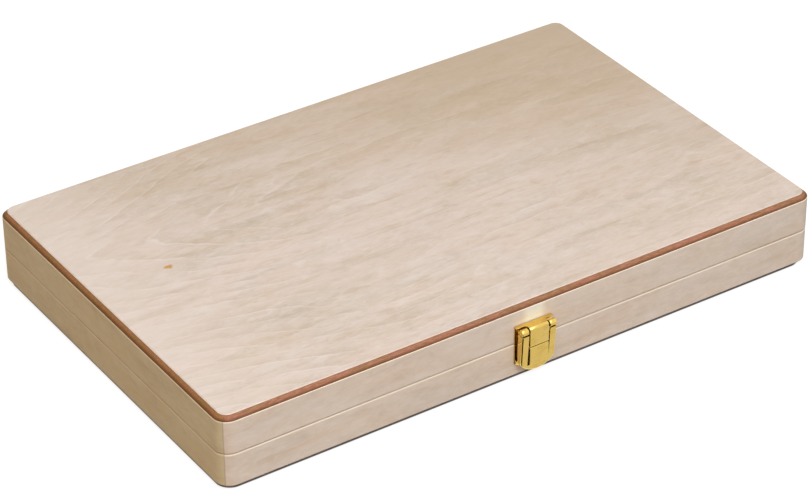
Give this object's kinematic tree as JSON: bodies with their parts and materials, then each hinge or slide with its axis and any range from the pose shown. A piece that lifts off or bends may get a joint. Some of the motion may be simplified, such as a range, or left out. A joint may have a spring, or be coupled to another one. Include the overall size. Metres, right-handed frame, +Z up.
{
  "type": "backgammon board case",
  "caption": "Folding wooden backgammon case, closed: two hinged tray halves with inlaid points inside and a brass snap catch in front.",
  "frame": {"origin": "centre of the underside of the lower half, on the surface that the case stands on", "axes": "+X along the long side to the right, +Y to the back with the hinges, -Y the front with the catch, +Z up"},
  "size_m": [0.38, 0.2494, 0.046],
  "materials": {
    "rail_wood": "bare, sanded, pale",
    "face_veneer": "bare sanded veneer, pale",
    "panel_core": "bare fibreboard core, reddish brown",
    "field_veneer": "satin veneer, pale",
    "dark_points": "satin veneer, dark brown",
    "light_points": "satin veneer, red brown",
    "brass": "polished brass"
  },
  "bodies": {
    "lower_half": {"lower_front_rail": "rail_wood", "lower_back_rail": "rail_wood", "lower_left_rail": "rail_wood", "lower_right_rail": "rail_wood", "lower_panel_core": "panel_core", "lower_panel_veneer": "face_veneer", "lower_field_veneer": "field_veneer", "lower_dark_points": "dark_points", "lower_light_points": "light_points", "left_hinge_lower_leaf": "brass", "left_hinge_pin": "brass", "right_hinge_lower_leaf": "brass", "right_hinge_pin": "brass", "lower_hinge_screws": "brass", "catch_keeper": "brass", "catch_keeper_nails": "brass"},
    "upper_half": {"upper_front_rail": "rail_wood", "upper_back_rail": "rail_wood", "upper_left_rail": "rail_wood", "upper_right_rail": "rail_wood", "upper_panel_core": "panel_core", "upper_panel_veneer": "face_veneer", "upper_field_veneer": "field_veneer", "upper_dark_points": "dark_points", "upper_light_points": "light_points", "left_hinge_upper_leaf": "brass", "right_hinge_upper_leaf": "brass", "upper_hinge_screws": "brass", "catch_lid_plate": "brass", "catch_pin": "brass", "catch_lid_nails": "brass"},
    "catch_loop": {"catch_loop": "brass"}
  },
  "joints": [
    {"name": "lid_hinge", "type": "hinge", "parent": "lower_half", "child": "upper_half", "pos_m": [0, 0.12035, 0.023], "axis": [-1, 0, 0], "range_deg": [0, 180]},
    {"name": "catch_hinge", "type": "hinge", "parent": "upper_half", "child": "catch_loop", "pos_m": [0, -0.1252, 0.0322], "axis": [-1, 0, 0], "range_deg": [0, 180]}
  ]
}
